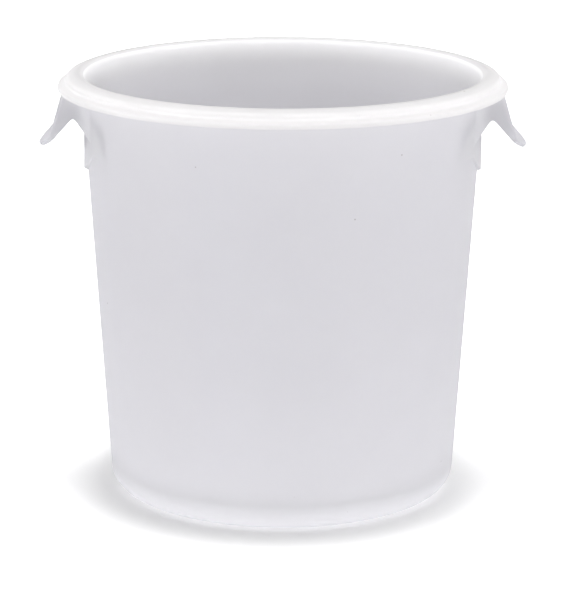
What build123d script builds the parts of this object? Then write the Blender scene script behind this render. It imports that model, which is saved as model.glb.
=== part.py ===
"""Round food container with a hollow rim, two hood handles and a raised panel under each handle.

Millimetres. The tub's axis is Z, the middle of its underside is the origin, and the handles are on the
X axis. Every solid of revolution is drawn as half a section, with the radius along X and the height
along Z.
"""
import os
from math import asin, atan, cos, radians, sin, sqrt, tan

from build123d import *

# Tub
height = 317.0
wall_outer_radius_at_floor = 129.2
wall_outer_radius_at_top = 149.6
wall_thickness = 3.0

# Base
floor_thickness = 3.4
corner_radius = 16.0
corner_to_wall_joint = 6.0
foot_ring_width = 9.0
recess_depth = 1.6
recess_draft_run = 2.0

# Rim
rim_height = 12.0
rim_shell = 2.8
bead_width = 14.4
lip_width = 5.7
lip_depth = 2.3
lip_slope = 1.5
bead_shoulder_drop = 2.8
bead_inner_round = 5.4
bead_crest_round = 14.0
bead_shoulder_round = 3.6
lip_root_round = 1.5
lip_edge_round = 1.1
lip_under_round = 0.5
channel_round = 1.9

# Handles
handle_half_width = 37.0
handle_shell = 2.7
plate_inset_from_lip = 4.6
plate_lean = 16.0
plate_straight_height = 33.2
flare_lean = 50.0
flare_bend_radius = 9.0
brim_reach = 14.8
brim_plan_radius = 75.0
cheek_splay = 3.0
arch_round = 6.6
arch_foot_width = 3.0
arch_crown_below_rim = 17.4
arch_foot_straight = 6.0
arch_foot_round = 6.0
arch_foot_run = 22.0

# Raised panels
panel_half_angle = 29.0
panel_bottom_below_rim = 59.0
panel_height = 40.0
panel_stand_off = 2.1
panel_ledge_drop = 1.2

# Overrun of cutting solids past what they cut
overrun = 5.0


def wall_slope():
    """Outward run of the wall for each unit of height."""
    return (wall_outer_radius_at_top - wall_outer_radius_at_floor) / height


def wall_radius(z):
    """Outer radius of the wall at height z."""
    return wall_outer_radius_at_floor + wall_slope() * z


def wall_level_thickness():
    """Thickness of the leaning wall, measured level."""
    return wall_thickness * sqrt(1 + wall_slope() ** 2)


def inner_radius(z):
    """Inner radius of the wall at height z."""
    return wall_radius(z) - wall_level_thickness()


def rim_bottom():
    """Height of the lip's lower edge, where the wall ends and the rim starts."""
    return height - rim_height


def lip_radius():
    """Outer radius of the lip, the widest part of the rim."""
    return inner_radius(height) + bead_width + lip_width


def half_section(points, radii):
    """Closed face in the XZ plane, with one radius for each corner and 0 where it stays sharp."""
    outline = FilletPolyline(*[(r, 0, z) for r, z in points], radius=radii, close=True)
    return make_face(outline)


def turned(points, radii):
    """Solid of revolution about the tub's axis."""
    return revolve(half_section(points, radii), Axis.Z)


def corner_tangent():
    """Distance from the sharp bottom corner to where the corner's arc ends."""
    lean = atan(wall_slope())
    return corner_radius / tan((radians(90) + lean) / 2)


def base_top():
    """Height where the base ends and the side wall starts, above the corner's arc."""
    return corner_tangent() * cos(atan(wall_slope())) + corner_to_wall_joint


def make_base():
    """Floor, rounded corner and foot ring, up to a level joint in the straight part of the wall."""
    top = base_top()
    flat_radius = wall_outer_radius_at_floor - corner_tangent()
    recess_radius = flat_radius - foot_ring_width
    inner_round = corner_radius - wall_thickness
    points = [
        (0, recess_depth),
        (recess_radius - recess_draft_run, recess_depth),
        (recess_radius, 0),
        (wall_radius(0), 0),
        (wall_radius(top), top),
        (inner_radius(top), top),
        (inner_radius(floor_thickness), floor_thickness),
        (0, floor_thickness),
    ]
    radii = [0, 0, 0, corner_radius, 0, 0, inner_round, 0]
    return turned(points, radii)


def make_side_wall():
    """Plain tapered wall between the base and the rim."""
    bottom = base_top()
    top = rim_bottom()
    points = [
        (inner_radius(bottom), bottom),
        (wall_radius(bottom), bottom),
        (wall_radius(top), top),
        (inner_radius(top), top),
    ]
    return turned(points, [0, 0, 0, 0])


def make_rim():
    """Bead that rolls outwards from the wall, open underneath, with a lip round its outer edge."""
    bottom = rim_bottom()
    opening = inner_radius(height)
    bead_outer = opening + bead_width
    shoulder = height - bead_shoulder_drop
    lip_top = bottom + lip_depth
    channel_outer = bead_outer - rim_shell
    points = [
        (inner_radius(bottom), bottom),
        (opening, height),
        (opening + bead_width / 2, height),
        (bead_outer, shoulder),
        (bead_outer, lip_top + lip_slope),
        (lip_radius(), lip_top),
        (lip_radius(), bottom),
        (channel_outer, bottom),
        (channel_outer, shoulder - rim_shell),
        (wall_radius(height - rim_shell), height - rim_shell),
        (wall_radius(bottom), bottom),
    ]
    radii = [0, bead_inner_round, bead_crest_round, bead_shoulder_round, lip_root_round, lip_edge_round,
             lip_under_round, lip_under_round, channel_round, channel_round, 0]
    return turned(points, radii)


def panel_bottom():
    """Height of the raised panel's lower edge."""
    return rim_bottom() - panel_bottom_below_rim


def panel_top():
    """Height where the leaning wall comes out to the panel's face and the panel runs out."""
    return panel_bottom() + panel_height


def panel_section():
    """Wedge between the wall and the panel's face, thickest at the ledge along its lower edge."""
    ledge = panel_bottom() - panel_ledge_drop
    points = [
        (wall_radius(ledge), ledge),
        (wall_radius(panel_bottom()) + panel_stand_off, panel_bottom()),
        (wall_radius(panel_top()), panel_top()),
    ]
    return half_section(points, [0, 0, 0])


def make_grip_panel():
    """Raised panel on the wall, centred on +X."""
    wedge = revolve(panel_section(), Axis.Z, 2 * panel_half_angle)
    return wedge.rotate(Axis.Z, -panel_half_angle)


def tub_core():
    """Everything inside the wall's and the panels' outer faces, over the height of the handles."""
    low = panel_bottom() - overrun
    high = rim_bottom() + overrun
    points = [(0, low), (wall_radius(low), low), (wall_radius(high), high), (0, high)]
    return turned(points, [0, 0, 0, 0]) + revolve(panel_section(), Axis.Z)


def plate_top():
    """Distance of the finger plate's outer face from the tub's axis, where it leaves the lip."""
    return lip_radius() - plate_inset_from_lip


def along(point, lean, height_down):
    """Point lower down on a line that leans outwards."""
    x, z = point
    return x + height_down * tan(radians(lean)), z - height_down


def knee():
    """Outer face of the finger plate where its flare starts."""
    return along((plate_top(), rim_bottom()), plate_lean, plate_straight_height)


def inner_knee():
    """Inner face of the finger plate at the same bend."""
    x, z = knee()
    middle = radians((plate_lean + flare_lean) / 2)
    half_bend = radians((flare_lean - plate_lean) / 2)
    step = handle_shell / cos(half_bend)
    return x - step * cos(middle), z - step * sin(middle)


def brim_tip():
    """Distance of the brim's middle from the tub's axis, the widest place of the handle."""
    return lip_radius() + brim_reach


def plate_section():
    """Finger plate in the XZ plane: straight under the lip, then flared, and longer than the brim."""
    top = rim_bottom()
    lean = radians(plate_lean)
    flare = radians(flare_lean)
    run = (brim_tip() + overrun - knee()[0]) / tan(flare)
    outer_end = along(knee(), flare_lean, run)
    inner_end = (outer_end[0] - handle_shell * cos(flare), outer_end[1] - handle_shell * sin(flare))
    points = [
        (plate_top(), top),
        knee(),
        outer_end,
        inner_end,
        inner_knee(),
        (plate_top() - handle_shell / cos(lean), top),
    ]
    radii = [0, flare_bend_radius, 0, 0, flare_bend_radius + handle_shell, 0]
    return half_section(points, radii)


def arch_side():
    """Distance of the arch's wall-side flank from the plane of the two handles' middles."""
    half = handle_half_width + cheek_splay
    return sqrt(wall_radius(panel_top()) ** 2 - half ** 2) + arch_foot_width


def arch_centre():
    """Middle of the arch's round."""
    return arch_side() + arch_round, rim_bottom() - arch_crown_below_rim - arch_round


def arch_corner():
    """Corner that the arch's round cuts off: its flank meets the tangent from the inner knee there."""
    centre_x, centre_z = arch_centre()
    knee_x, knee_z = inner_knee()
    run = knee_x - centre_x
    rise = centre_z - knee_z
    slant = atan(rise / run) + asin(arch_round / sqrt(run ** 2 + rise ** 2))
    return arch_side(), knee_z + (knee_x - arch_side()) * tan(slant)


def cheek_section():
    """Cheek in the XZ plane: under the rim, with an arched lower edge and a foot down the wall."""
    top = rim_bottom()
    inside = inner_radius(0)
    foot = arch_centre()[1] - arch_foot_straight
    toe = arch_side() - arch_foot_width - handle_shell
    points = [
        (inside, top),
        (plate_top(), top),
        knee(),
        inner_knee(),
        arch_corner(),
        (arch_side(), foot),
        (toe, foot - arch_foot_run),
        (inside, foot - arch_foot_run),
    ]
    radii = [0, 0, 0, 0, arch_round, arch_foot_round, 0, 0]
    return half_section(points, radii)


def cheek_half(x):
    """Half the hood's width at distance x: the cheeks stand further apart at the wall."""
    share = (knee()[0] - x) / (knee()[0] - wall_radius(rim_bottom()))
    return handle_half_width + cheek_splay * share


def hood_plan(inset):
    """Prism with the hood's outline seen from above, with its two sides moved in by the inset."""
    near = inner_radius(0)
    far = brim_tip() + overrun
    low = panel_bottom() - overrun
    points = [
        (near, inset - cheek_half(near)),
        (far, inset - cheek_half(far)),
        (far, cheek_half(far) - inset),
        (near, cheek_half(near) - inset),
    ]
    outline = Polygon(*points, align=None)
    return extrude(Pos(0, 0, low) * outline, rim_bottom() - low)


def brim_cutter():
    """Upright cylinder that gives the brim its rounded outline seen from above."""
    low = panel_bottom() - overrun
    circle = Pos(brim_tip() - brim_plan_radius, 0, low) * Circle(brim_plan_radius)
    return extrude(circle, rim_bottom() - low)


def make_handle():
    """Hood on +X: a flared finger plate under the lip, closed by a cheek at each end."""
    reach = handle_half_width + overrun + cheek_splay
    plate = extrude(plate_section(), reach, both=True) & hood_plan(0) & brim_cutter()
    cheeks = extrude(cheek_section(), reach, both=True) & (hood_plan(0) - hood_plan(handle_shell))
    return plate + cheeks - tub_core()


def main():
    os.makedirs("parts", exist_ok=True)
    export_step(make_base(), "parts/base.step")
    export_step(make_side_wall(), "parts/side_wall.step")
    export_step(make_rim(), "parts/rim.step")
    handle = make_handle()
    export_step(handle, "parts/handle_right.step")
    export_step(mirror(handle, Plane.YZ), "parts/handle_left.step")
    panel = make_grip_panel()
    export_step(panel, "parts/grip_panel_right.step")
    export_step(mirror(panel, Plane.YZ), "parts/grip_panel_left.step")


main()
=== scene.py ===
# %% [markdown]
# # A round food container in milky polyethylene
#
# The real container is a single injection moulding: a tapered tub with a wide rolled rim, and a hood
# under the rim on each side to lift it by. It has no paint and no seams, so its whole look is one
# milky plastic under soft light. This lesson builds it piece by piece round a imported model, which
# gives the places, and it works in metres, with Z up and the tub's axis on Z.

# %% Load the frame
from math import asin, atan, cos, degrees, pi, radians, sin, sqrt, tan

import bmesh
import bpy
from mathutils import Matrix, Vector


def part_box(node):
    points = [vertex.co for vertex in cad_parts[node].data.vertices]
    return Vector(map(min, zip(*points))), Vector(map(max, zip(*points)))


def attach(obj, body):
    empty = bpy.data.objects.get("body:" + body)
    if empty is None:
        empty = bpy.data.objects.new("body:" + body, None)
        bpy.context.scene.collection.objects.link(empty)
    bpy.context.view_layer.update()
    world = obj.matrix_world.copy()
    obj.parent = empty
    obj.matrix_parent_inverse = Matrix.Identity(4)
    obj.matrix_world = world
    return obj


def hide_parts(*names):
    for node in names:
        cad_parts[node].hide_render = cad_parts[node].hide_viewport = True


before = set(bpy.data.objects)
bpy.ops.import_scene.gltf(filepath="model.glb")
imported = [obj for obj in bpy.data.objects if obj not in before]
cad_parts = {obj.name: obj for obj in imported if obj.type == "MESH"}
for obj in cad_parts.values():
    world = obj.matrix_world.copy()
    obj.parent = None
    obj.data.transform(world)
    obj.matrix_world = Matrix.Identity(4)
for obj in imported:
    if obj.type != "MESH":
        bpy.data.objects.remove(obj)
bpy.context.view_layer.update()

MM = 0.001

# %% [markdown]
# ## Sizes that come from the frame
#
# The tub is a cone with a lean of a few degrees. Its joints lie on the straight part of the wall, so
# two radii and two heights, read from the frame, give the wall's radius at any height. Reading them
# here, instead of typing them again, keeps every piece on its place when the model changes. The wall
# is 3 mm thick, measured square to its face, and a turned section needs it measured level.

# %% Read the tub's sizes
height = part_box("rim")[1].z
lip_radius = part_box("rim")[1].x
rim_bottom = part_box("side_wall")[1].z
base_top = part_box("base")[1].z
wall_at_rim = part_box("side_wall")[1].x
wall_at_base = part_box("base")[1].x
wall_slope = (wall_at_rim - wall_at_base) / (rim_bottom - base_top)
square_thickness = 3.0 * MM
wall_thickness = square_thickness * sqrt(1 + wall_slope ** 2)


def outer_wall(z):
    """Outer radius of the wall at height z."""
    return wall_at_base + wall_slope * (z - base_top)


def inner_wall(z):
    """Inner radius of the wall at height z."""
    return outer_wall(z) - wall_thickness


print("wall leans", round(degrees(atan(wall_slope)), 2), "degrees")

# %% [markdown]
# ## The finish: milky polyethylene
#
# Natural polyethylene is white because its crystals scatter light. A wall 3 mm thick lets some of the
# light through, so the tub glows a little from inside and the hoods, with nothing bright behind them,
# look greyer. Subsurface scattering could do this, but it stops at each piece's end and would draw
# a line at the joints. A Translucent shader mixed into the Principled one lets light pass through
# both skins of a wall and leaves the joints unseen.
#
# Thick plastic scatters more light back than thin plastic does, so the rolled rim is whiter than the
# wall and lets less through. Part of the rim's whiter colour is painted glow as well, for the light it
# catches from above, and that painted glow runs down the wall, a little way outside, under the lip, and
# further inside. The inside is painted lighter too, most near the rim. The corner of the base is thick
# too, and lets less through. The panels and the roots of the hoods lie on the wall, which backs them
# with solid plastic, so a second copy of the material lets less through near the wall.
#
# The mould left a very fine grain, the colour drifts a little from place to place, and a few dark
# specks are trapped in the plastic. All are patterns on Object coordinates, so they run on from one
# piece to the next.

# %% Choose the plastic's colours and shares
# Colours of the rim, partly its plastic and partly painted glow, of the wall in its light and dark
# clouds, of the painted light inside and of a speck
RIM_MILK_AND_PAINTED_GLOW = (0.800, 0.788, 0.795, 1.0)
MILK = (0.742, 0.737, 0.765, 1.0)
MILK_CLOUDY = (0.700, 0.695, 0.723, 1.0)
PAINTED_INSIDE_LIGHT = (1.0, 0.995, 1.0, 1.0)
SPECK = (0.33, 0.30, 0.30, 1.0)

# Shares of light that pass through, and what a hood's root keeps of the wall's share
TRANSLUCENCY = 0.45
RIM_TRANSLUCENCY = 0.12
CORNER_TRANSLUCENCY = 0.35
ROOT_SHARE = 0.60

# Heights over which painted glow whitens the outside under the rim, painted light whitens the inside,
# and the plastic turns thick at the rim and thin above the base's corner
RIM_AND_PAINTED_GLOW_OUTSIDE = height - 16 * MM, height - 10 * MM
PAINTED_LIGHT_INSIDE = height - 46 * MM, height - 8 * MM
THICK_RIM = height - 24 * MM, height - 12 * MM
THIN_ABOVE_CORNER = 12 * MM, 30 * MM

# Shares of the painted light inside, low down and at the rim
PAINTED_LIGHT_INSIDE_SHARES = 0.70, 0.95

# Distances from the wall's outer face: inwards to the inside's skin, and outwards past a hood's root
INSIDE_SKIN = -1 * MM, -2 * MM
PAST_THE_ROOT = 3 * MM, 9 * MM

# Patterns
CLOUD_SCALE = 14.0
CLOUD_DETAIL = 6.0
CLOUD_ROUGHNESS = 0.75
GRAIN_SCALE = 700.0
GRAIN_DETAIL = 3.0
GRAIN_ROUGHNESS = 0.55
GRAIN_STRENGTH = 0.12
GRAIN_DEPTH = 0.05 * MM
SPECK_SCALE = 34.0
SPECK_RADIUS = 0.9 * MM

# Gloss: a dull satin that drifts with the clouds
SATIN = 0.42, 0.52
GLOSS = 0.15
REFRACTION = 1.5
print("light through the wall", TRANSLUCENCY, "and through the rim", RIM_TRANSLUCENCY)

# %% [markdown]
# ## Helpers for materials
#
# A material is a tree of nodes, and the same few steps come back in it: add a node with its settings,
# turn a measure into a soft step, and mix two values. A helper for each keeps the tree readable. The
# last one measures how far a point lies outside the wall's outer face. This tells the inside, the
# outside and the hoods apart with no need of painted masks.

# %% Helpers for nodes
MIX_SOCKETS = {"FLOAT": (2, 0), "RGBA": (6, 2)}


def node(tree, kind, place, **settings):
    """Adds a node and sets its properties and the default values of its sockets."""
    made = tree.nodes.new(kind)
    made.location = place
    for name, value in settings.items():
        if hasattr(made, name):
            setattr(made, name, value)
        else:
            made.inputs[name.replace("_", " ")].default_value = value
    return made


def ramp(tree, place, value, start, end, low=0.0, high=1.0):
    """Soft step of a value: low before start and high after end."""
    step = node(tree, "ShaderNodeMapRange", place, interpolation_type="SMOOTHSTEP",
                From_Min=start, From_Max=end, To_Min=low, To_Max=high)
    tree.links.new(value, step.inputs["Value"])
    return step.outputs["Result"]


def mixed(tree, place, kind, factor, first, second):
    """Mix of two numbers or two colours, each an output or a plain value, by a factor."""
    first_input, output = MIX_SOCKETS[kind]
    mix = node(tree, "ShaderNodeMix", place, data_type=kind)
    tree.links.new(factor, mix.inputs["Factor"])
    for socket, value in zip(mix.inputs[first_input:first_input + 2], (first, second)):
        if isinstance(value, (float, tuple)):
            socket.default_value = value
        else:
            tree.links.new(value, socket)
    return mix.outputs[output]


def proud_of_wall(tree, coordinates, up):
    """How far a point lies outside the wall's outer face: below 0 it is inside."""
    flat = node(tree, "ShaderNodeVectorMath", (-1000, 900), operation="MULTIPLY")
    flat.inputs[1].default_value = (1, 1, 0)
    radius = node(tree, "ShaderNodeVectorMath", (-800, 900), operation="LENGTH")
    wall = node(tree, "ShaderNodeMath", (-800, 750), operation="MULTIPLY_ADD")
    wall.inputs[1].default_value = wall_slope
    wall.inputs[2].default_value = outer_wall(0)
    proud = node(tree, "ShaderNodeMath", (-600, 900), operation="SUBTRACT")
    tree.links.new(coordinates, flat.inputs[0])
    tree.links.new(flat.outputs["Vector"], radius.inputs[0])
    tree.links.new(up, wall.inputs[0])
    tree.links.new(radius.outputs["Value"], proud.inputs[0])
    tree.links.new(wall.outputs["Value"], proud.inputs[1])
    return proud.outputs["Value"]


print("the wall's outer face meets the floor at a radius of", round(outer_wall(0) / MM, 1), "mm")

# %% [markdown]
# ## Make the plastic
#
# The colour and the share of light that passes through are worked out apart, because both follow the
# same places. Then one function joins them into the material, and it runs twice: once for the tub,
# whose base has the thick corner, and once for the panels and hoods, which have the thick roots.

# %% Colour of the plastic, with painted glow and painted light inside
def milky_colour(tree, coordinates, clouds, up, proud):
    """Colour output: cloudy, whiter at the rim partly as painted glow, painted lighter inside, with rare
    dark specks.
    """
    cloudy = mixed(tree, (-700, 300), "RGBA", clouds, MILK, MILK_CLOUDY)
    inside = node(tree, "ShaderNodeMath", (-200, 1050), operation="MINIMUM")
    tree.links.new(ramp(tree, (-400, 1150), proud, *INSIDE_SKIN), inside.inputs[0])
    tree.links.new(ramp(tree, (-400, 1000), up, *THIN_ABOVE_CORNER), inside.inputs[1])
    inside_mask = inside.outputs["Value"]
    # Painted light: the outside takes the rim's colour a little way under the lip, and the inside is
    # painted lighter, most near the rim
    outer_glow = ramp(tree, (-400, 850), up, *RIM_AND_PAINTED_GLOW_OUTSIDE)
    inner_glow = ramp(tree, (-400, 700), up, *PAINTED_LIGHT_INSIDE, *PAINTED_LIGHT_INSIDE_SHARES)
    inner_share = mixed(tree, (-200, 1000), "FLOAT", inside_mask, 0.0, inner_glow)
    outer_share = mixed(tree, (-200, 900), "FLOAT", inside_mask, outer_glow, 0.0)
    inner = mixed(tree, (-600, 500), "RGBA", inner_share, cloudy, PAINTED_INSIDE_LIGHT)
    milky = mixed(tree, (-500, 500), "RGBA", outer_share, inner, RIM_MILK_AND_PAINTED_GLOW)
    specks = node(tree, "ShaderNodeTexVoronoi", (-1000, 0), Scale=SPECK_SCALE)
    tree.links.new(coordinates, specks.inputs["Vector"])
    dark = ramp(tree, (-800, 0), specks.outputs["Distance"], SPECK_RADIUS * SPECK_SCALE, 0.0)
    return mixed(tree, (-500, 200), "RGBA", dark, milky, SPECK)


# %% Share of light that passes through the plastic
def light_through(tree, up, proud, on_the_wall):
    """Share output: less in the thick rim, and in the roots of hoods or in the base's corner."""
    if on_the_wall:
        low = ramp(tree, (0, 650), proud, *PAST_THE_ROOT, ROOT_SHARE * TRANSLUCENCY, TRANSLUCENCY)
    else:
        low = ramp(tree, (0, 650), up, *THIN_ABOVE_CORNER, CORNER_TRANSLUCENCY, TRANSLUCENCY)
    return mixed(tree, (200, 500), "FLOAT", ramp(tree, (0, 800), up, *THICK_RIM), low, RIM_TRANSLUCENCY)


# %% Join them into the material
def make_plastic(name, on_the_wall):
    """Milky polyethylene with a fine grain, for the tub or for the pieces on its wall."""
    material = bpy.data.materials.new(name)
    material.use_nodes = True
    tree = material.node_tree
    tree.nodes.clear()
    link = tree.links.new
    coordinates = node(tree, "ShaderNodeTexCoord", (-1200, 0)).outputs["Object"]
    axes = node(tree, "ShaderNodeSeparateXYZ", (-1000, 600))
    clouds = node(tree, "ShaderNodeTexNoise", (-1000, 300),
                  Scale=CLOUD_SCALE, Detail=CLOUD_DETAIL, Roughness=CLOUD_ROUGHNESS)
    grain = node(tree, "ShaderNodeTexNoise", (-1000, -300),
                 Scale=GRAIN_SCALE, Detail=GRAIN_DETAIL, Roughness=GRAIN_ROUGHNESS)
    for reader in (axes, clouds, grain):
        link(coordinates, reader.inputs["Vector"])
    up = axes.outputs["Z"]
    proud = proud_of_wall(tree, coordinates, up)
    colour = milky_colour(tree, coordinates, clouds.outputs["Fac"], up, proud)

    satin = node(tree, "ShaderNodeMapRange", (-700, -120), To_Min=SATIN[0], To_Max=SATIN[1])
    relief = node(tree, "ShaderNodeBump", (-500, -300), Strength=GRAIN_STRENGTH, Distance=GRAIN_DEPTH)
    link(clouds.outputs["Fac"], satin.inputs["Value"])
    link(grain.outputs["Fac"], relief.inputs["Height"])

    skin = node(tree, "ShaderNodeBsdfPrincipled", (-200, 200), IOR=REFRACTION, Specular_IOR_Level=GLOSS)
    through = node(tree, "ShaderNodeBsdfTranslucent", (-200, -200))
    blend = node(tree, "ShaderNodeMixShader", (100, 100))
    output = node(tree, "ShaderNodeOutputMaterial", (300, 100))
    link(colour, skin.inputs["Base Color"])
    link(satin.outputs["Result"], skin.inputs["Roughness"])
    link(relief.outputs["Normal"], skin.inputs["Normal"])
    link(colour, through.inputs["Color"])
    link(relief.outputs["Normal"], through.inputs["Normal"])
    link(light_through(tree, up, proud, on_the_wall), blend.inputs[0])
    link(skin.outputs["BSDF"], blend.inputs[1])
    link(through.outputs["BSDF"], blend.inputs[2])
    link(blend.outputs["Shader"], output.inputs["Surface"])
    return material


tub_plastic = make_plastic("milky_polyethylene", False)
root_plastic = make_plastic("milky_polyethylene_on_the_wall", True)
print("made", tub_plastic.name, "with", len(tub_plastic.node_tree.nodes), "nodes")

# %% [markdown]
# ## Two helpers for every piece
#
# The tub's pieces are all round, so each is a section spun round the axis. A cylinder could be cut and
# bevelled into the same shapes, but in a section every radius, height and rounding is a number that
# can be read and changed. The section starts as a wire: its corners, drawn in the XZ plane. Bevelling
# a corner's vertex rounds it, and the length taken off each side follows from the corner's radius and
# turn. The second helper makes a finished mesh into an object that rides on the model's body and
# stands for one of its nodes.

# %% Helpers for sections and pieces
SPIN_STEPS = 360
ROUND_STEPS = 6
SHARP_TURN = radians(50)
MERGE = 0.001 * MM
ORIGIN = (0, 0, 0)
UP = (0, 0, 1)


def rounded_wire(bm, corners, closed):
    """Draws a section from corners of radius, height and rounding, and rounds each corner."""
    places = [Vector((r, 0, z)) for r, z, _ in corners]
    verts = [bm.verts.new(place) for place in places]
    for start, end in zip(verts, verts[1:]):
        bm.edges.new((start, end))
    if closed:
        bm.edges.new((verts[-1], verts[0]))
    count = len(places)
    for index, (_, _, rounding) in enumerate(corners):
        if rounding:
            arriving = places[index] - places[index - 1]
            leaving = places[(index + 1) % count] - places[index]
            cut = rounding * tan(arriving.angle(leaving) / 2)
            bmesh.ops.bevel(bm, geom=[verts[index]], offset=cut, offset_type="OFFSET", affect="VERTICES",
                            segments=ROUND_STEPS, profile=0.5, material=-1)


def turn_about_axis(bm, angle):
    """Turns a whole mesh round the tub's axis."""
    bmesh.ops.rotate(bm, verts=bm.verts[:], cent=ORIGIN, matrix=Matrix.Rotation(angle, 3, "Z"))


def add_piece(name, bm, plastic, cad_node):
    """Makes the mesh an object with the plastic on it, in the place of a CAD node."""
    mesh = bpy.data.meshes.new(name)
    bm.to_mesh(mesh)
    bm.free()
    mesh.shade_smooth()
    mesh.set_sharp_from_angle(angle=SHARP_TURN)
    mesh.materials.append(plastic)
    piece = bpy.data.objects.new(name, mesh)
    bpy.context.scene.collection.objects.link(piece)
    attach(piece, "root")
    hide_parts(cad_node)
    print(name, "has", len(mesh.polygons), "faces")
    return piece


def turned(name, corners, closed, cad_node):
    """Spins a section once round the tub's axis and closes its seam and poles."""
    bm = bmesh.new()
    rounded_wire(bm, corners, closed)
    bmesh.ops.spin(bm, geom=bm.verts[:] + bm.edges[:], cent=ORIGIN, axis=UP,
                   angle=2 * pi, steps=SPIN_STEPS, use_merge=True)
    bmesh.ops.remove_doubles(bm, verts=bm.verts[:], dist=MERGE)
    bmesh.ops.recalc_face_normals(bm, faces=bm.faces[:])
    add_piece(name, bm, tub_plastic, cad_node)


# %% [markdown]
# ## The base
#
# The tub stands on a narrow foot ring, and its floor is lifted a little inside the ring, as moulded
# containers have it so that a warped floor never rocks. The corner is round outside and inside. The
# section runs from the axis, under the floor, round the corner to the joint, and back inside to the
# axis, so it is left open where it meets the axis and the spin closes it.

# %% Turn the base
floor_thickness = 3.4 * MM
recess_depth = 1.6 * MM
recess_draft = 2.0 * MM
foot_edge_round = 1.0 * MM
corner_round = 16.0 * MM
inner_corner_round = 13.0 * MM
foot_ring_width = 9.0 * MM
lean = atan(wall_slope)
foot_ring_outside = outer_wall(0) - corner_round / tan((pi / 2 + lean) / 2)
recess_radius = foot_ring_outside - foot_ring_width

turned("tub_base", [
    (0, recess_depth, 0),
    (recess_radius - recess_draft, recess_depth, foot_edge_round),
    (recess_radius, 0, foot_edge_round),
    (outer_wall(0), 0, corner_round),
    (outer_wall(base_top), base_top, 0),
    (inner_wall(base_top), base_top, 0),
    (inner_wall(floor_thickness), floor_thickness, inner_corner_round),
    (0, floor_thickness, 0),
], False, "base")

# %% [markdown]
# ## The side wall
#
# Between the base and the rim the wall is a plain cone of even thickness, so four corners are enough.
# A smaller cone could be cut out of a larger one instead, but the spun section needs no cutting and
# meets its two neighbours exactly.

# %% Turn the side wall
turned("tub_wall", [
    (inner_wall(base_top), base_top, 0),
    (outer_wall(base_top), base_top, 0),
    (outer_wall(rim_bottom), rim_bottom, 0),
    (inner_wall(rim_bottom), rim_bottom, 0),
], True, "side_wall")

# %% [markdown]
# ## The rim
#
# The rim rolls outwards into a wide soft bead and ends in a lip that a lid clips under. It is hollow
# underneath, as a moulded rim has to be so that it cools evenly. Its outline is soft everywhere: the
# crest is nearly flat, the shoulder is round, and the lip flares out from a shallow valley. The edges
# of a finished ring could be bevelled, but each has its own radius, and in a section of eleven corners
# the radii stand side by side in one list.

# %% Turn the rim
bead_width = 14.4 * MM
shoulder_drop = 2.8 * MM
rim_shell = 2.8 * MM
lip_thickness = 3.4 * MM
lip_flare = 2.0 * MM
mouth_round = 5.4 * MM
crest_round = 14.0 * MM
shoulder_round = 3.6 * MM
valley_round = 2.5 * MM
lip_round = 1.6 * MM
lip_foot_round = 0.5 * MM
channel_round = 1.9 * MM
lip_top = rim_bottom + lip_thickness
lip_root = lip_top + lip_flare
opening = inner_wall(height)
bead_outside = opening + bead_width
channel_outside = bead_outside - rim_shell

turned("tub_rim", [
    (inner_wall(rim_bottom), rim_bottom, 0),
    (opening, height, mouth_round),
    (opening + bead_width / 2, height, crest_round),
    (bead_outside, height - shoulder_drop, shoulder_round),
    (bead_outside, lip_root, valley_round),
    (lip_radius, lip_top, lip_round),
    (lip_radius, rim_bottom, lip_foot_round),
    (channel_outside, rim_bottom, lip_foot_round),
    (channel_outside, height - shoulder_drop - rim_shell, channel_round),
    (outer_wall(height - rim_shell), height - rim_shell, channel_round),
    (outer_wall(rim_bottom), rim_bottom, 0),
], True, "rim")

# %% [markdown]
# ## The raised panels
#
# Under each hood the wall is a little thicker, so that it carries the lift. The panel stands out most
# at its lower edge, where it ends in a small step, and runs out into the leaning wall further up. Its
# section is a thin wedge whose back is sunk into the wall, spun through the panel's own angle, so it
# has the tub's curve from the start, which a flat plate would need a modifier for. Towards its two
# upright ends the panel sinks back into the wall, so that it has no edge there, and its lower edge
# rises on a round arc to the feet of the hood.

# %% Sizes of the panels
panel_low, panel_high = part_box("grip_panel_right")
packed_stand_off = 2.1 * MM
panel_angle = asin(panel_high.y / (outer_wall(panel_low.z) + packed_stand_off))
panel_foot_drop = 2.0 * MM
panel_ledge = 1.2 * MM
panel_foot = panel_low.z - panel_foot_drop
panel_bottom = panel_foot + panel_ledge
panel_stand_off = 3.2 * MM
panel_sink = 1.0 * MM
panel_edge_round = 0.7 * MM
panel_turn = 2 * pi / SPIN_STEPS
panel_arc_radius = 60.0 * MM
panel_arc_rise = 19.0 * MM


def panel_fade(angle):
    """Share of the panel's stand-off that is left at an angle from its middle."""
    return cos(pi / 2 * min(abs(angle) / panel_angle, 1)) ** 2


def panel_face(z, angle):
    """Radius of the panel's face at height z, which meets the wall at the panel's top and ends."""
    share = (panel_high.z - z) / (panel_high.z - panel_bottom)
    return outer_wall(z) + panel_stand_off * share * panel_fade(angle)


def panel_lift(y):
    """Rise of the panel's lower edge at a distance from its middle."""
    return min(y ** 2 / (2 * panel_arc_radius), panel_arc_rise)


print("panel reaches", round(degrees(panel_angle), 1), "degrees to each side of its middle")

# %% Spin the panels
def lift_and_fade(vert):
    """Moves a point of the spun wedge up with the lower edge, and back towards the wall."""
    radius = vert.co.xy.length
    proud = radius - outer_wall(vert.co.z)
    on_lower_edge = vert.co.z < panel_bottom + panel_ledge
    lifted = vert.co.z + (panel_lift(vert.co.y) if on_lower_edge else 0)
    if proud > 0:
        left = (panel_high.z - lifted) / (panel_high.z - vert.co.z)
        proud *= left * panel_fade(atan(vert.co.y / vert.co.x))
    vert.co.xy *= (outer_wall(lifted) + proud) / radius
    vert.co.z = lifted


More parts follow.
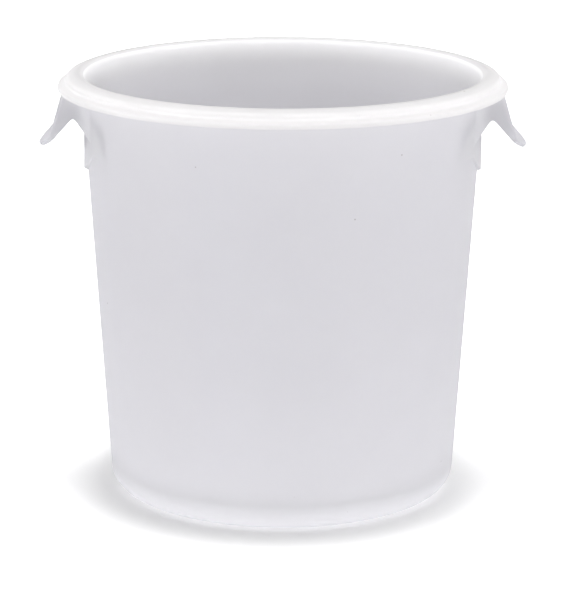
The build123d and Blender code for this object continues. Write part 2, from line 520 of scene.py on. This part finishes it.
def raised_panel(name, turn, cad_node):
    """One panel, turned round the tub's axis to its side."""
    bm = bmesh.new()
    above = panel_high.z + panel_edge_round
    rounded_wire(bm, [
        (outer_wall(panel_foot) - panel_sink, panel_foot, 0),
        (outer_wall(panel_foot), panel_foot, 0),
        (panel_face(panel_bottom, 0), panel_bottom, panel_edge_round),
        (panel_face(above, 0), above, 0),
        (outer_wall(above) - panel_sink, above, 0),
    ], True)
    bmesh.ops.contextual_create(bm, geom=bm.edges[:])
    steps = round(2 * panel_angle / panel_turn)
    bmesh.ops.spin(bm, geom=bm.verts[:] + bm.edges[:] + bm.faces[:], cent=ORIGIN, axis=UP,
                   angle=2 * panel_angle, steps=steps)
    turn_about_axis(bm, -panel_angle)
    for vert in bm.verts:
        lift_and_fade(vert)
    turn_about_axis(bm, turn)
    bmesh.ops.recalc_face_normals(bm, faces=bm.faces[:])
    add_piece(name, bm, root_plastic, cad_node)


raised_panel("grip_panel_right_skin", 0, "grip_panel_right")
raised_panel("grip_panel_left_skin", pi, "grip_panel_left")

# %% [markdown]
# ## The hoods
#
# Each hood is one bent sheet of plastic. A plate leaves the lip and leans out, flares at its foot into
# a rounded brim, and turns at both ends into a cheek that runs back to the tub and melts into the
# panel. The fingers go up behind the plate, through the arches that the cheeks leave free.
#
# It could be three plates joined by booleans, but then the roots, bends and corners would each need
# a fillet. One grid is enough, bent by its outline seen from the side and its outline seen from above.

# %% Sizes of the hood
hood_shell = 2.7 * MM
hood_rim_round = 1.3 * MM
hood_rim_steps = 4
hood_rim_turn = radians(60)
plate_inset = 4.6 * MM
plate_top = lip_radius - plate_inset
plate_angle = radians(16)
flare_angle = radians(50)
plate_lean = tan(plate_angle)
flare_lean = tan(flare_angle)
knee_drop = 33.2 * MM
knee_x = plate_top + knee_drop * plate_lean
bend_softness = 1.0 * MM
brim_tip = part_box("handle_right")[1].x
brim_round = 75.0 * MM
half_width = 37.0 * MM
cheek_splay = 3.0 * MM
hood_corner_round = 3.2 * MM
cheek_fillet = 10.0 * MM
sink_into_panel = 0.05 * MM
sink_into_lip = 1.5 * MM

arch_reach = 11.3 * MM
arch_x = sqrt(outer_wall(panel_high.z) ** 2 - (half_width + cheek_splay) ** 2) + arch_reach
arch_round = 2.4 * MM
arch_drop = 20.4 * MM
foot_steepness = 1.4
print("hood reaches", round(brim_tip / MM, 1), "mm from the axis")

# %% [markdown]
# ### The hood seen from the side
#
# The plate's outer face is a straight line, a soft bend at the knee and a steeper line. Cutting it off
# where it reaches the brim's outline seen from above gives the brim its rounded front. There is no
# short formula for that place, so it is found by halving a range of drops again and again.

# %% Outline of the hood seen from the side
BRIM_HALVINGS = 30


def plate_x(drop):
    """Outer face of the plate at a drop below the rim: leaning, then flared, with a soft bend."""
    past_knee = drop - knee_drop
    bend = (past_knee + sqrt(past_knee ** 2 + bend_softness ** 2)) / 2
    return plate_top + plate_lean * drop + (flare_lean - plate_lean) * bend


def brim_reach(y):
    """Distance of the brim's rounded outline from the axis, seen from above."""
    return brim_tip - brim_round + sqrt(brim_round ** 2 - y ** 2)


def brim_drop(y):
    """Drop at which the plate reaches the brim's outline, found by halving."""
    low, high = 0, 2 * knee_drop
    for _ in range(BRIM_HALVINGS):
        middle = (low + high) / 2
        low, high = (middle, high) if plate_x(middle) < brim_reach(y) else (low, middle)
    return low


def arch_edge(x):
    """Drop of the cheek's lower edge at x: a slanted line, a round crown and a foot down to the wall."""
    knee_angle = (plate_angle + flare_angle) / 2
    inner_knee_x = knee_x - hood_shell * cos(knee_angle)
    inner_knee_drop = knee_drop + hood_shell * sin(knee_angle)
    run = inner_knee_x - arch_x
    rise = inner_knee_drop - arch_drop
    slant = atan(rise / run) + asin(arch_round / sqrt(run ** 2 + rise ** 2))
    foot = arch_round * foot_steepness / sqrt(1 + foot_steepness ** 2)
    across = x - arch_x
    if across > arch_round * sin(slant):
        return inner_knee_drop - (inner_knee_x - x) * tan(slant)
    if across > -foot:
        return arch_drop - sqrt(arch_round ** 2 - across ** 2)
    return arch_drop - sqrt(arch_round ** 2 - foot ** 2) - (across + foot) * foot_steepness


print("brim hangs", round(brim_drop(0) / MM, 1), "mm below the rim")

# %% [markdown]
# ### The hood seen from above
#
# Half the outline is one path from 0 to 1: the plate, a round corner, the straight cheek, and a fillet
# that leaves the cheek and lies down on the panel. The cheeks stand a little further apart at the tub,
# so that the mould can open.

# %% Outline of the hood seen from above
PLATE_END, CORNER_END, CHEEK_END = 0.50, 0.60, 0.74
SETTLING_STEPS = 40


def cheek_y(x):
    """Distance of the cheek's outer face from the middle plane, a little more at the tub."""
    return half_width + cheek_splay * (knee_x - x) / (knee_x - wall_at_rim)


def tub_skin(z, angle):
    """Radius of the wall, or of the panel on it, at a height and an angle from the panel's middle."""
    return max(panel_face(z, angle), outer_wall(z))


def bend_between(start, corner, end, share):
    """Point on a curve that leaves start towards corner and arrives at end from corner."""
    return start.lerp(corner, share).lerp(corner.lerp(end, share), share)


def hood_plan(share, drop):
    """Place in plan on half the hood: from the plate's middle, at 0, to the panel, at 1."""
    x = plate_x(drop)
    z = rim_bottom - drop
    skin = tub_skin(z, asin((half_width + cheek_splay) / wall_at_rim))
    corner_x = min(x, brim_reach(half_width))
    corner = Vector((corner_x, cheek_y(corner_x)))
    root_y = cheek_y(skin)
    root = Vector((sqrt(skin ** 2 - root_y ** 2), root_y))
    along_cheek = (corner - root).normalized()
    plate_end = Vector((x, half_width - hood_corner_round))
    cheek_start = corner - along_cheek * hood_corner_round
    fillet_start = root + along_cheek * cheek_fillet
    end_angle = asin(root_y / skin) + cheek_fillet / skin
    fillet_end = Vector((cos(end_angle), sin(end_angle))) * (tub_skin(z, end_angle) - sink_into_panel)
    if share < PLATE_END:
        return Vector((x, 0)).lerp(plate_end, share / PLATE_END)
    if share < CORNER_END:
        return bend_between(plate_end, corner, cheek_start, (share - PLATE_END) / (CORNER_END - PLATE_END))
    if share < CHEEK_END:
        return cheek_start.lerp(fillet_start, (share - CORNER_END) / (CHEEK_END - CORNER_END))
    return bend_between(fillet_start, root, fillet_end, (share - CHEEK_END) / (1 - CHEEK_END))


def lower_edge(share):
    """Drop of the hood's lower edge along its half outline. On the cheek it settles step by step."""
    if share <= PLATE_END:
        return brim_drop((half_width - hood_corner_round) * share / PLATE_END)
    if share < CORNER_END:
        part = (share - PLATE_END) / (CORNER_END - PLATE_END)
        return (1 - part) * lower_edge(PLATE_END) + part * lower_edge(CORNER_END)
    drop = arch_drop
    for _ in range(SETTLING_STEPS):
        drop = (drop + arch_edge(hood_plan(share, drop).x)) / 2
    return drop


print("cheek ends", round(lower_edge(1) / MM, 1), "mm below the rim, on the panel")

# %% [markdown]
# ### Bending the grid
#
# The grid's columns follow the outline seen from above, from the panel over the plate and back to the
# panel, and its rows go down from the rim to the lower edge. Each point is moved to the place that its
# column and row give. Solidify makes the sheet a wall, and a bevel rounds its rims.

# %% Bend a grid into the hoods
HOOD_COLUMNS, HOOD_ROWS = 120, 16


def place_on_hood(vert):
    """Moves a point of the flat grid, 1 to each side and 1 up and down, to its place on the hood."""
    side = 1 if vert.co.x > 0 else -1
    share = abs(vert.co.x)
    way_down = (vert.co.y + 1) / 2
    drop = way_down * (lower_edge(share) + sink_into_lip) - sink_into_lip
    place = hood_plan(share, drop)
    vert.co = (place.x, side * place.y, rim_bottom - drop)


def make_hood(name, turn, cad_node):
    """One hood, turned round the tub's axis to its side."""
    bm = bmesh.new()
    bmesh.ops.create_grid(bm, x_segments=HOOD_COLUMNS, y_segments=HOOD_ROWS, size=1)
    for vert in bm.verts:
        place_on_hood(vert)
    bm.normal_update()
    middle = max(bm.faces, key=lambda face: face.calc_center_median().x)
    if middle.normal.x < 0:
        bmesh.ops.reverse_faces(bm, faces=bm.faces[:])
    turn_about_axis(bm, turn)
    piece = add_piece(name, bm, root_plastic, cad_node)
    wall = piece.modifiers.new("wall", "SOLIDIFY")
    wall.thickness = hood_shell
    wall.offset = -1
    wall.use_even_offset = True
    soften = piece.modifiers.new("round_rims", "BEVEL")
    soften.width = hood_rim_round
    soften.segments = hood_rim_steps
    soften.limit_method = "ANGLE"
    soften.angle_limit = hood_rim_turn


make_hood("hood_right", 0, "handle_right")
make_hood("hood_left", pi, "handle_left")

# %% [markdown]
# ## The studio
#
# The photo was lit as white goods are, with soft light from all round: a light dome, one softbox and
# a table that glows. The strengths could be set by eye, one after the other, but each one changes the
# whole picture. So the strengths were worked out together, from what each light gives alone, so that
# their sum gives the photo's tones on the wall, the rim and the inside.
#
# The camera should see a white background, and the object shouldn't get all that light. A Light Path
# node tells the two apart: rays from the camera, straight, mirrored or through glass, meet plain
# white, and the rays of soft light meet the lights.

# %% Choose the lights
FLOOR_SIZE = 12.0
PAPER = (0.93, 0.93, 0.93, 1.0)
WHITE = (1.0, 1.0, 1.0, 1.0)

# Table lamp: radii over which its glow falls off, and its strength inside and outside them
TABLE_RADII = 0.25, 0.60
TABLE_GLOW = 1.33, 0.05

# Lift of the paper to white round the shadow, and again far away; its weak middle round the tub
# paints part of the shadow
SHADOW_CENTRE = (-4 * MM, -6 * MM, 0)
SHADOW_RADII = 0.107, 0.172
SHADOW_LIFT = 0.06, 0.65
FAR_RADII = 0.40, 2.00
FAR_LIFT = 0.0, 0.40

# Dome: strength straight up, of the light walls and of the horizon's band, and how high these reach
DOME_LIGHT = 0.05
WALLS_LIGHT = 2.20
WALLS_TOP = 0.50
HORIZON_LIGHT = 14.70
HORIZON_TOP = 0.14

# Share of the horizon's band by direction along Y, from the camera's side, at -1, to behind, at 1
HORIZON_SHARES = {-1.0: 0.30, -0.6: 0.90, 0.0: 0.86, 0.5: 0.0, 1.0: 0.0}

SOFTBOX_HEIGHT = 3.0
SOFTBOX_SIZE = 0.75
SOFTBOX_POWER = 52.0
print("dome", DOME_LIGHT, "with", HORIZON_LIGHT, "at the horizon, and a softbox of", SOFTBOX_POWER, "W")

# %% Let the camera see white where the soft light has its glow
def straight_or_mirrored(tree, x, y):
    """Nodes that give 1 to camera, glossy and transmission rays, and 0 to the rays of soft light."""
    path = node(tree, "ShaderNodeLightPath", (x, y))
    first = node(tree, "ShaderNodeMath", (x + 200, y), operation="MAXIMUM")
    both = node(tree, "ShaderNodeMath", (x + 400, y), operation="MAXIMUM")
    tree.links.new(path.outputs["Is Camera Ray"], first.inputs[0])
    tree.links.new(path.outputs["Is Glossy Ray"], first.inputs[1])
    tree.links.new(first.outputs["Value"], both.inputs[0])
    tree.links.new(path.outputs["Is Transmission Ray"], both.inputs[1])
    return both.outputs["Value"]


# %% [markdown]
# ### The floor
#
# The floor is a milky table with a round lamp under it, as photographers use for clear and milky
# goods, so the round corner of the base stays light right down to the floor. The light rays that feed
# the object meet that glow. The camera sees white paper with the soft shadow on it. That shadow is
# partly the lights' own and partly painted: the paper is lifted to white round the tub and far away,
# but only a little within a disc round the base, and that disc of weak lift paints part of the shadow.

# %% Make the floor
def white_paper(tree, coordinates, distance):
    """Shader of the paper that the camera sees: the lights' shadow, with painted shadow where the lift to
    white is weak round the tub.
    """
    link = tree.links.new
    paper = node(tree, "ShaderNodeBsdfDiffuse", (-400, 100), Color=PAPER)
    white = node(tree, "ShaderNodeEmission", (-400, 0))
    seen = node(tree, "ShaderNodeAddShader", (-200, 100))
    from_shadow = node(tree, "ShaderNodeVectorMath", (-800, 0), operation="DISTANCE")
    from_shadow.inputs[1].default_value = SHADOW_CENTRE
    lifted = node(tree, "ShaderNodeMath", (-500, 50), operation="ADD")
    link(coordinates, from_shadow.inputs[0])
    # The weak lift near the tub paints part of the shadow
    link(ramp(tree, (-600, 0), from_shadow.outputs["Value"], *SHADOW_RADII, *SHADOW_LIFT), lifted.inputs[0])
    link(ramp(tree, (-600, 150), distance, *FAR_RADII, *FAR_LIFT), lifted.inputs[1])
    link(lifted.outputs["Value"], white.inputs["Strength"])
    link(paper.outputs["BSDF"], seen.inputs[0])
    link(white.outputs["Emission"], seen.inputs[1])
    return seen.outputs["Shader"]


def make_floor():
    """A wide pale floor that fills the photo's frame, white with a partly painted shadow, over a soft glow.
    """
    bm = bmesh.new()
    bmesh.ops.create_grid(bm, x_segments=1, y_segments=1, size=FLOOR_SIZE / 2)
    mesh = bpy.data.meshes.new("studio_floor")
    bm.to_mesh(mesh)
    bm.free()
    material = bpy.data.materials.new("milky_table")
    material.use_nodes = True
    tree = material.node_tree
    tree.nodes.clear()
    link = tree.links.new
    coordinates = node(tree, "ShaderNodeTexCoord", (-1000, -100)).outputs["Object"]
    distance = node(tree, "ShaderNodeVectorMath", (-800, -100), operation="LENGTH")
    glow = node(tree, "ShaderNodeEmission", (-200, -100))
    blend = node(tree, "ShaderNodeMixShader", (0, 0))
    output = node(tree, "ShaderNodeOutputMaterial", (200, 0))
    link(coordinates, distance.inputs[0])
    link(ramp(tree, (-600, -200), distance.outputs["Value"], *TABLE_RADII, *TABLE_GLOW),
         glow.inputs["Strength"])
    link(straight_or_mirrored(tree, -800, 300), blend.inputs[0])
    link(glow.outputs["Emission"], blend.inputs[1])
    link(white_paper(tree, coordinates, distance.outputs["Value"]), blend.inputs[2])
    link(blend.outputs["Shader"], output.inputs["Surface"])
    mesh.materials.append(material)
    floor = bpy.data.objects.new("studio_floor", mesh)
    bpy.context.scene.collection.objects.link(floor)
    print("floor is", FLOOR_SIZE, "m wide")


make_floor()

# %% [markdown]
# ### The dome
#
# A dome lights from all round without any lamp that could draw a hard edge. It is brightest at the
# horizon and fades upwards, like the light walls of a studio. A narrow band at the very horizon stands
# for two long lights at the camera's left and right: their light reaches a few centimetres down inside
# the rim, and none comes from behind, which leaves the inside's depth greyer than the outside.

# %% Make the dome
def fading_up(tree, place, up, top, low, high):
    """Strength that goes evenly from low at the horizon to high at the height top."""
    level = node(tree, "ShaderNodeMapRange", place, From_Max=top, To_Min=low, To_Max=high)
    tree.links.new(up, level.inputs["Value"])
    return level.outputs["Result"]


def share_by_side(tree, along_y):
    """Share of the horizon's band in a direction, read from a colour ramp along Y."""
    from_zero = node(tree, "ShaderNodeMapRange", (-700, -300), From_Min=-1.0)
    round_about = node(tree, "ShaderNodeValToRGB", (-500, -300))
    stops = round_about.color_ramp.elements
    while len(stops) < len(HORIZON_SHARES):
        stops.new(0.5)
    for stop, (y, share) in zip(stops, HORIZON_SHARES.items()):
        stop.position = (y + 1) / 2
        stop.color = (share, share, share, 1)
    tree.links.new(along_y, from_zero.inputs["Value"])
    tree.links.new(from_zero.outputs["Result"], round_about.inputs["Fac"])
    return round_about.outputs["Color"]


def make_dome():
    """World light with a bright band at the horizon, which shows as white."""
    world = bpy.data.worlds.new("studio_dome")
    bpy.context.scene.world = world
    world.use_nodes = True
    tree = world.node_tree
    tree.nodes.clear()
    link = tree.links.new
    coordinates = node(tree, "ShaderNodeTexCoord", (-900, 0))
    axes = node(tree, "ShaderNodeSeparateXYZ", (-700, 0))
    strength = node(tree, "ShaderNodeMath", (-350, 0), operation="MULTIPLY_ADD")
    light = node(tree, "ShaderNodeBackground", (-200, 0), Color=WHITE)
    white = node(tree, "ShaderNodeBackground", (-200, 200), Color=WHITE)
    blend = node(tree, "ShaderNodeMixShader", (0, 100))
    output = node(tree, "ShaderNodeOutputWorld", (200, 100))
    link(coordinates.outputs["Generated"], axes.inputs["Vector"])
    up = axes.outputs["Z"]
    link(fading_up(tree, (-500, 0), up, HORIZON_TOP, HORIZON_LIGHT, 0.0), strength.inputs[0])
    link(share_by_side(tree, axes.outputs["Y"]), strength.inputs[1])
    link(fading_up(tree, (-500, -150), up, WALLS_TOP, WALLS_LIGHT, DOME_LIGHT), strength.inputs[2])
    link(strength.outputs["Value"], light.inputs["Strength"])
    link(straight_or_mirrored(tree, -900, 400), blend.inputs[0])
    link(light.outputs["Background"], blend.inputs[1])
    link(white.outputs["Background"], blend.inputs[2])
    link(blend.outputs["Shader"], output.inputs["Surface"])
    print("dome has", len(tree.nodes), "nodes")


make_dome()

# %% [markdown]
# ### The softbox
#
# One round softbox hangs straight above. The rim is wider than the base, so it keeps the softbox's
# light off the floor round the base, and that, with the paper's painted shadow, is the tight soft
# shadow in the photo. A lamp to one side would throw the shadow to the other, which the photo doesn't
# show.

# %% Hang the softbox
lamp = bpy.data.lights.new("softbox", "AREA")
lamp.shape = "DISK"
lamp.size = SOFTBOX_SIZE
lamp.energy = SOFTBOX_POWER
softbox = bpy.data.objects.new("softbox", lamp)
softbox.location = (0, 0, SOFTBOX_HEIGHT)
bpy.context.scene.collection.objects.link(softbox)
print("softbox hangs", SOFTBOX_HEIGHT, "m over the floor")

# %% [markdown]
# ## The camera
#
# The photo looks down on the container from a little over two metres away with a long lens. A camera
# could be matched by eye, but the ellipses of the rim and the base fix it more closely: the distance,
# the height and the tilt were worked out from them.

# %% Place the camera
CAMERA_PLACE = (0.001614, -2.11043, 0.689785)
LOOKS_DOWN = 14.57
CAMERA_TILT = radians(90 - LOOKS_DOWN)
CAMERA_ROLL = 0.0030
FRAME_LONG_SIDE = 600
FOCAL_PIXELS = 2884.38
SENSOR = 36.0

camera_data = bpy.data.cameras.new("photo_camera")
camera_data.sensor_width = SENSOR
camera_data.lens = FOCAL_PIXELS * SENSOR / FRAME_LONG_SIDE
camera = bpy.data.objects.new("photo_camera", camera_data)
camera.location = CAMERA_PLACE
aim = Matrix.Rotation(CAMERA_TILT, 3, "X") @ Matrix.Rotation(CAMERA_ROLL, 3, "Z")
camera.rotation_euler = aim.to_euler()
bpy.context.scene.collection.objects.link(camera)
bpy.context.scene.camera = camera
bpy.context.scene.view_settings.view_transform = "Standard"
print("lens", round(camera_data.lens, 1), "mm")
